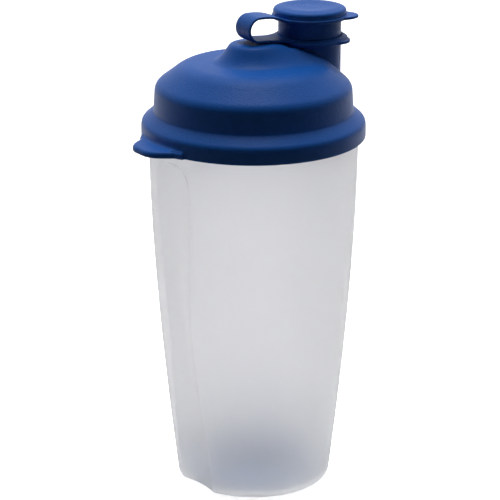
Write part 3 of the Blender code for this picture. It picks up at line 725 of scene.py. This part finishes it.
def bezier(a, b, c, d, shares):
    rest = 1 - shares[:, None]
    shares = shares[:, None]
    return (a * rest ** 3 + b * 3 * rest * rest * shares
            + c * 3 * rest * shares * shares + d * shares ** 3)


def strap_path(sizes):
    """Middle line of the strap in the XZ plane, from the ring to the cap."""
    places, centre = Places(sizes), sizes.lid.spout_offset
    ring_end = np.array((centre - places.ring_inner_r - STRAP_ROOT_DEPTH,
                         places.ring_z + RING_INNER_HEIGHT - STRAP_ROOT_THICKNESS / 2))
    cap_end = np.array((centre - places.cap_inner_r - STRAP_ROOT_DEPTH,
                        places.cap_bottom + CAP_FLANGE_HEIGHT / 2))
    low = np.array((places.loop_x, places.loop_z - LOOP_R))
    high = np.array((places.loop_x, places.loop_z + LOOP_R))
    lower, upper, end = (np.array((lean, 0.0)) for lean in (LOWER_LEAN, UPPER_LEAN, END_LEAN))
    shares = np.linspace(0, 1, RUN_ROWS)
    turns = np.linspace(0, math.pi, LOOP_ROWS)[1:-1]
    arc = np.column_stack((places.loop_x - LOOP_R * np.sin(turns),
                           places.loop_z - LOOP_R * np.cos(turns)))
    return np.concatenate((bezier(ring_end, ring_end - end, low + lower, low, shares), arc,
                           bezier(high, high + upper, cap_end - end, cap_end, shares)))


def strap_section(half):
    """The band's outline, as its place across and its rise from -1 to 1, with round edges."""
    edge = [(math.sin(turn), math.cos(turn)) for turn in np.linspace(-math.pi / 2, math.pi / 2, 9)]
    flat = half - STRAP_EDGE
    return ([(flat + STRAP_EDGE * out, rise) for rise, out in edge]
            + [(y, 1) for y in np.linspace(flat, -flat, 12)[1:-1]]
            + [(-flat - STRAP_EDGE * out, rise) for rise, out in reversed(edge)]
            + [(y, -1) for y in np.linspace(-flat, flat, 12)[1:-1]])


def make_tether_strap(sizes):
    """A flat band along the path, wider at its ends and thicker at the ring."""
    tether, places = sizes.tether, Places(sizes)
    path, rows = strap_path(sizes), []
    for number, point in enumerate(path):
        before, after = path[max(number - 1, 0)], path[min(number + 1, len(path) - 1)]
        along = (after - before) / np.linalg.norm(after - before)
        side = np.array((-along[1], along[0]))
        ends = [np.linalg.norm(point - end) for end in (path[0], path[-1])]
        nearness = max(1 - min(ends) / STRAP_FLARE_LENGTH, 0.0)
        half = tether.strap_width / 2 + STRAP_FLARE * nearness ** 2
        root_r = places.ring_inner_r if ends[0] < ends[1] else places.cap_inner_r
        root_r += STRAP_ROOT_DEPTH
        growth = nearness ** 3 if number < RUN_ROWS else 0.0
        thick = tether.strap_thickness / 2 * (1 - growth) + STRAP_ROOT_THICKNESS / 2 * growth
        section = []
        for y, rise in strap_section(half):
            x, z = point + side * rise * thick
            curve = root_r - math.sqrt(max(root_r * root_r - y * y, 0.0))
            section.append((x + curve * nearness ** 2, y, z))
        rows.append(np.array(section))
    strap = skin("tether_strap_dress", rows, first_pole=rows[0].mean(0),
                 last_pole=rows[-1].mean(0))
    return smooth(strap, 60)


# Mixing wheel

def hoop(name, radius, thickness, low, high_out, high_in):
    """A hoop with rounded edges and a sloped top."""
    inner = radius - thickness
    corners = [(radius, (low + high_out) / 2), (radius, high_out), (inner, high_in), (inner, low),
               (radius, low), (radius, (low + high_out) / 2)]
    outline = rounded(corners, [WHEEL_EDGE] * 4, 4)[:-1]
    turns = np.linspace(0, 2 * math.pi, WHEEL_COLUMNS, endpoint=False)
    return skin(name, turned_rows(outline, turns), closed=True)


def vane(name, tops, low, thickness, turn):
    """An upright vane with a rounded top that follows the given heights."""
    half, rows = thickness / 2, []
    along = np.array((math.cos(turn), math.sin(turn), 0))
    across = np.array((-math.sin(turn), math.cos(turn), 0))
    for radius, top in tops:
        corners = [(0, low), (half, low), (half, top), (-half, top), (-half, low), (0, low)]
        section = rounded(corners, [WHEEL_EDGE, half * 0.9, half * 0.9, WHEEL_EDGE], 4)[:-1]
        rows.append(np.array([along * radius + across * y + np.array((0, 0, z))
                              for y, z in section]))
    return skin(name, rows, first_pole=rows[0].mean(0), last_pole=rows[-1].mean(0))


def joined(item, others):
    """One closed skin of the item and the others."""
    for other in others:
        union = item.modifiers.new("union", "BOOLEAN")
        union.object, union.operation, union.solver = other, "UNION", "EXACT"
    state = item.evaluated_get(bpy.context.evaluated_depsgraph_get())
    mesh = bpy.data.meshes.new_from_object(state)
    item.modifiers.clear()
    item.data = mesh
    for other in others:
        bpy.data.objects.remove(other)
    return item


def make_mixing_wheel(sizes):
    """A hoop, a middle ring and a hub, joined by upright vanes."""
    tumbler, wheel = sizes.tumbler, sizes.wheel
    form = TumblerForm(tumbler)
    corner = tumbler.floor + FLOOR_ROUNDING
    floor_r = form.radius(corner) - tumbler.wall - float(form.grip_depth(np.zeros(1), corner)[0])
    wheel_r = floor_r - FLOOR_ROUNDING - WHEEL_PLAY
    low, wall = tumbler.floor + CLEARANCE, wheel.wall
    top, middle_r = low + WHEEL_HUB_HEIGHT, wheel_r * WHEEL_MID_SHARE
    middle_top, hoop_top = top - wall / 2, low + wheel.hoop_height

    def envelope(radius):
        return float(np.interp(radius, [WHEEL_HUB_R, middle_r, wheel_r],
                               [top, middle_top, hoop_top]))

    body = hoop("mixing_wheel_dress", wheel_r, wall, low, hoop_top, envelope(wheel_r - wall))
    others = [hoop("middle", middle_r, wall, low, middle_top, envelope(middle_r - wall)),
              hoop("hub", WHEEL_HUB_R, WHEEL_HUB_R - WHEEL_HUB_BORE, low, top, top)]
    inner_r, outer_r = (WHEEL_HUB_R + WHEEL_HUB_BORE) / 2, wheel_r - wall / 2
    reach = [inner_r, WHEEL_HUB_R, middle_r, outer_r]
    tops = [(radius, envelope(radius) - 0.05 * MM) for radius in reach]
    for number in range(wheel.vanes):
        turn = 2 * math.pi * (number + 0.5) / wheel.vanes
        others.append(vane(f"vane_{number}", tops, low + 0.02 * MM, wall * 0.9, turn))
    return smooth(joined(body, others), 40)


# Materials

def add_node(tree, kind, settings=None, inputs=None):
    """Adds a node with its settings, values and links."""
    node = tree.nodes.new(kind)
    for name, value in (settings or {}).items():
        setattr(node, name, value)
    for name, value in (inputs or {}).items():
        if isinstance(value, bpy.types.NodeSocket):
            tree.links.new(value, node.inputs[name])
        else:
            node.inputs[name].default_value = value
    return node


def new_tree(name):
    material = bpy.data.materials.new(name)
    material.use_nodes = True
    material.node_tree.nodes.clear()
    return material, material.node_tree


def tinted(rgb, factor):
    return (*(min(part * factor, 1.0) for part in rgb), 1.0)


def spark_eroded_polyethylene(name, rgb):
    """Blue low-density polyethylene from a spark-eroded mould.

    The mould's fine pits leave a satin skin, with a pale sparkle where the
    light strikes it. Their real grain of about 0.15 mm is too fine to show, so
    it is drawn at 0.7 mm.
    """
    material, tree = new_tree(name)
    place = add_node(tree, "ShaderNodeTexCoord").outputs["Object"]
    grain = add_node(tree, "ShaderNodeTexNoise", inputs={
        "Vector": place, "Scale": 1 / (0.7 * MM), "Detail": 3.0, "Roughness": 0.6})
    flow = add_node(tree, "ShaderNodeTexNoise", inputs={
        "Vector": place, "Scale": 1 / (14 * MM), "Detail": 2.0, "Roughness": 0.5})
    flow_colour = add_node(tree, "ShaderNodeMix", {"data_type": "RGBA"}, {
        "Factor": flow.outputs["Fac"], "A": tinted(rgb, 0.93), "B": tinted(rgb, 1.07)})
    rough = add_node(tree, "ShaderNodeMapRange", inputs={
        "Value": grain.outputs["Fac"], "From Min": 0.3, "From Max": 0.7,
        "To Min": 0.36, "To Max": 0.46})
    bump = add_node(tree, "ShaderNodeBump", inputs={
        "Strength": 1.0, "Distance": 0.16 * MM, "Height": grain.outputs["Fac"]})
    shader = add_node(tree, "ShaderNodeBsdfPrincipled", inputs={
        "Base Color": flow_colour.outputs["Result"], "Roughness": rough.outputs["Result"],
        "IOR": 1.51, "Normal": bump.outputs["Normal"], "Specular IOR Level": 0.08})
    add_node(tree, "ShaderNodeOutputMaterial", inputs={"Surface": shader.outputs["BSDF"]})
    return material


def frosted_polypropylene(name, rgb):
    """Natural polypropylene from a frosted mould: milky, it passes light but no picture."""
    material, tree = new_tree(name)
    place = add_node(tree, "ShaderNodeTexCoord").outputs["Object"]
    frost = add_node(tree, "ShaderNodeTexNoise", inputs={
        "Vector": place, "Scale": 1 / (0.6 * MM), "Detail": 2.0, "Roughness": 0.5})
    stretched = add_node(tree, "ShaderNodeMapping", inputs={
        "Vector": place, "Scale": (1, 1, 0.12)})
    flow = add_node(tree, "ShaderNodeTexNoise", inputs={
        "Vector": stretched.outputs["Vector"], "Scale": 1 / (9 * MM), "Detail": 3.0})
    tint = add_node(tree, "ShaderNodeMix", {"data_type": "RGBA"}, {
        "Factor": flow.outputs["Fac"], "A": tinted(rgb, 0.97), "B": tinted(rgb, 1.0)})
    rough = add_node(tree, "ShaderNodeMapRange", inputs={
        "Value": flow.outputs["Fac"], "From Min": 0.3, "From Max": 0.7,
        "To Min": 0.66, "To Max": 0.74})
    bump = add_node(tree, "ShaderNodeBump", inputs={
        "Strength": 0.3, "Distance": 0.02 * MM, "Height": frost.outputs["Fac"]})
    shader = add_node(tree, "ShaderNodeBsdfPrincipled", inputs={
        "Base Color": tint.outputs["Result"], "Roughness": rough.outputs["Result"],
        "IOR": 1.49, "Transmission Weight": 0.84, "Normal": bump.outputs["Normal"]})
    add_node(tree, "ShaderNodeOutputMaterial", inputs={"Surface": shader.outputs["BSDF"]})
    return material


def moulded_polypropylene(name, rgb):
    """Blue polypropylene from a plain mould: smoother and a little glossier than the lid."""
    material, tree = new_tree(name)
    place = add_node(tree, "ShaderNodeTexCoord").outputs["Object"]
    flow = add_node(tree, "ShaderNodeTexNoise", inputs={
        "Vector": place, "Scale": 1 / (5 * MM), "Detail": 3.0, "Roughness": 0.55})
    tint = add_node(tree, "ShaderNodeMix", {"data_type": "RGBA"}, {
        "Factor": flow.outputs["Fac"], "A": tinted(rgb, 0.94), "B": tinted(rgb, 1.06)})
    rough = add_node(tree, "ShaderNodeMapRange", inputs={
        "Value": flow.outputs["Fac"], "From Min": 0.3, "From Max": 0.7,
        "To Min": 0.30, "To Max": 0.38})
    bump = add_node(tree, "ShaderNodeBump", inputs={
        "Strength": 0.2, "Distance": 0.02 * MM, "Height": flow.outputs["Fac"]})
    shader = add_node(tree, "ShaderNodeBsdfPrincipled", inputs={
        "Base Color": tint.outputs["Result"], "Roughness": rough.outputs["Result"],
        "IOR": 1.49, "Normal": bump.outputs["Normal"]})
    add_node(tree, "ShaderNodeOutputMaterial", inputs={"Surface": shader.outputs["BSDF"]})
    return material


def seen_directly(tree):
    """1 for camera, glossy and transmission rays, which meet the white background."""
    path = add_node(tree, "ShaderNodeLightPath")
    seen = path.outputs["Is Camera Ray"]
    for ray in ("Is Glossy Ray", "Is Transmission Ray"):
        either = add_node(tree, "ShaderNodeMath", {"operation": "MAXIMUM"},
                          {0: seen, 1: path.outputs[ray]})
        seen = either.outputs["Value"]
    return seen


def studio_paper(name, rgb):
    """White background paper: matt, and washed out to the white of the backdrop.

    What the object's own matt faces get from it is dark, so that it throws
    little light up under the lid.
    """
    material, tree = new_tree(name)
    paper = add_node(tree, "ShaderNodeBsdfDiffuse", inputs={
        "Color": (*rgb, 1.0), "Roughness": 0.6})
    wash = add_node(tree, "ShaderNodeEmission", inputs={
        "Color": (1, 1, 1, 1), "Strength": PAPER_WASH})
    white = add_node(tree, "ShaderNodeAddShader", inputs={
        0: paper.outputs["BSDF"], 1: wash.outputs["Emission"]})
    dark = add_node(tree, "ShaderNodeBsdfDiffuse", inputs={"Color": (*linear(PAPER_BOUNCE), 1.0)})
    mix = add_node(tree, "ShaderNodeMixShader", inputs={
        "Fac": seen_directly(tree), 1: dark.outputs["BSDF"], 2: white.outputs["Shader"]})
    add_node(tree, "ShaderNodeOutputMaterial", inputs={"Surface": mix.outputs["Shader"]})
    return material


def studio_world():
    """White for the eye, the gloss and the frosted wall, and soft light from behind and above."""
    world = bpy.data.worlds.new("studio")
    world.use_nodes = True
    tree = world.node_tree
    tree.nodes.clear()
    bpy.context.scene.world = world
    direction = add_node(tree, "ShaderNodeTexCoord").outputs["Generated"]
    source = (-SKY_BACK * math.sin(CAMERA_TURN), SKY_BACK * math.cos(CAMERA_TURN), SKY_RISE)
    towards = add_node(tree, "ShaderNodeVectorMath", {"operation": "DOT_PRODUCT"},
                       {0: direction, 1: source})
    soft = add_node(tree, "ShaderNodeMapRange", {"interpolation_type": "SMOOTHSTEP"}, {
        "Value": towards.outputs["Value"], "From Min": 0.10, "From Max": 0.95,
        "To Min": 0.0, "To Max": SKY_LEVEL})
    strength = add_node(tree, "ShaderNodeMix", {"data_type": "FLOAT"}, {
        "Factor": seen_directly(tree), "A": soft.outputs["Result"], "B": 1.0})
    back = add_node(tree, "ShaderNodeBackground", inputs={
        "Color": (1, 1, 1, 1), "Strength": strength.outputs["Result"]})
    add_node(tree, "ShaderNodeOutputWorld", inputs={"Surface": back.outputs["Background"]})
    world.cycles.sampling_method = "NONE"


# Operators

def shared_material(name, make, rgb):
    """The named material, made once."""
    return bpy.data.materials.get(name) or make(name, tuple(rgb))


def dress(item, material, body, node):
    """Gives a piece its finish, and lets it stand for its CAD node."""
    give_material(item, material)
    if body:
        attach(item, body)
    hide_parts(node)
    return item


class SHAKER_OT_tumbler(bpy.types.Operator):
    """Build the frosted tumbler"""
    bl_idname = "shaker.tumbler"
    bl_label = "Tumbler"

    def execute(self, context):
        sizes = context.scene.shaker
        finish = shared_material("frosted_natural_polypropylene", frosted_polypropylene,
                                 sizes.tumbler.plastic)
        dress(make_tumbler(sizes.tumbler), finish, "tumbler", "tumbler")
        return {"FINISHED"}


class SHAKER_OT_lid(bpy.types.Operator):
    """Build the domed lid with its boss, spout and pull tab"""
    bl_idname = "shaker.lid"
    bl_label = "Lid"

    def execute(self, context):
        sizes = context.scene.shaker
        finish = shared_material("spark_eroded_polyethylene", spark_eroded_polyethylene,
                                 sizes.lid.plastic)
        dress(make_lid(sizes), finish, "lid", "lid")
        return {"FINISHED"}


class SHAKER_OT_tethered_cap(bpy.types.Operator):
    """Build the ring, the looped strap and the spout cap"""
    bl_idname = "shaker.tethered_cap"
    bl_label = "Tethered Cap"

    def execute(self, context):
        sizes = context.scene.shaker
        finish = shared_material("spark_eroded_polyethylene", spark_eroded_polyethylene,
                                 sizes.lid.plastic)
        dress(make_tether_ring(sizes), finish, "tether", "tether_ring")
        dress(make_spout_cap(sizes), finish, "cap", "spout_cap")
        strap = dress(make_tether_strap(sizes), finish, None, "tether_strap")
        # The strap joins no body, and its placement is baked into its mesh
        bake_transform(strap)
        return {"FINISHED"}


class SHAKER_OT_mixing_wheel(bpy.types.Operator):
    """Build the loose mixing wheel"""
    bl_idname = "shaker.mixing_wheel"
    bl_label = "Mixing Wheel"

    def execute(self, context):
        sizes = context.scene.shaker
        finish = shared_material("moulded_blue_polypropylene", moulded_polypropylene,
                                 sizes.wheel.plastic)
        dress(make_mixing_wheel(sizes), finish, "wheel", "mixing_wheel")
        return {"FINISHED"}


class SHAKER_OT_stage(bpy.types.Operator):
    """Build the floor, the lights and the camera"""
    bl_idname = "shaker.stage"
    bl_label = "Stage"

    def execute(self, context):
        settings = context.scene.shaker.stage
        mesh = bpy.data.meshes.new("floor")
        mesh.from_pydata([(x * FLOOR_REACH, y * FLOOR_REACH, 0)
                          for x, y in ((-1, -1), (1, -1), (1, 1), (-1, 1))], [], [(0, 1, 2, 3)])
        floor = add_object("floor", mesh)
        give_material(floor, studio_paper("studio_paper", tuple(settings.floor)))
        studio_world()
        self.add_lamp("overhead", settings.overhead)
        self.add_camera(context.scene)
        context.scene.view_settings.view_transform = "Standard"
        return {"FINISHED"}

    def add_lamp(self, name, power):
        lamp = bpy.data.lights.new(name, "AREA")
        lamp.shape, lamp.size, lamp.energy = "DISK", LAMP_SIZE, power
        item = add_object(name, lamp)
        item.location = LAMP_PLACE
        aim = Vector(LAMP_AIM) - Vector(LAMP_PLACE)
        item.rotation_euler = aim.to_track_quat("-Z", "Y").to_euler()

    def add_camera(self, scene):
        camera = add_object("camera", bpy.data.cameras.new("camera"))
        camera.data.sensor_width, camera.data.lens = CAMERA_SENSOR, CAMERA_LENS
        camera.data.shift_x = CAMERA_SHIFT
        camera.location = (CAMERA_DISTANCE * math.sin(CAMERA_TURN),
                           -CAMERA_DISTANCE * math.cos(CAMERA_TURN), CAMERA_HEIGHT)
        camera.rotation_euler = (math.pi / 2 - CAMERA_DIP, 0, CAMERA_TURN)
        scene.camera = camera


class SHAKER_PT_panel(bpy.types.Panel):
    """Sizes and steps of the shaker"""
    bl_idname = "SHAKER_PT_panel"
    bl_label = "Cream Shaker"
    bl_space_type = "VIEW_3D"
    bl_region_type = "UI"
    bl_category = "Shaker"

    def draw(self, context):
        sizes = context.scene.shaker
        for operator, group in zip(OPERATORS, (sizes.tumbler, sizes.lid, sizes.tether,
                                               sizes.wheel, sizes.stage)):
            box = self.layout.box()
            box.operator(operator.bl_idname)
            for name in group.__annotations__:
                box.prop(group, name)


GROUPS = (TumblerSettings, LidSettings, TetherSettings, WheelSettings, StageSettings,
          ShakerSettings)
OPERATORS = (SHAKER_OT_tumbler, SHAKER_OT_lid, SHAKER_OT_tethered_cap, SHAKER_OT_mixing_wheel,
             SHAKER_OT_stage)
CLASSES = (*GROUPS, *OPERATORS, SHAKER_PT_panel)


def register():
    for item in CLASSES:
        bpy.utils.register_class(item)
    bpy.types.Scene.shaker = PointerProperty(type=ShakerSettings)


def unregister():
    del bpy.types.Scene.shaker
    for item in reversed(CLASSES):
        bpy.utils.unregister_class(item)


def main():
    register()
    bpy.ops.shaker.tumbler()
    bpy.ops.shaker.lid()
    bpy.ops.shaker.tethered_cap()
    bpy.ops.shaker.mixing_wheel()
    bpy.ops.shaker.stage()


if __name__ == "__main__":
    main()
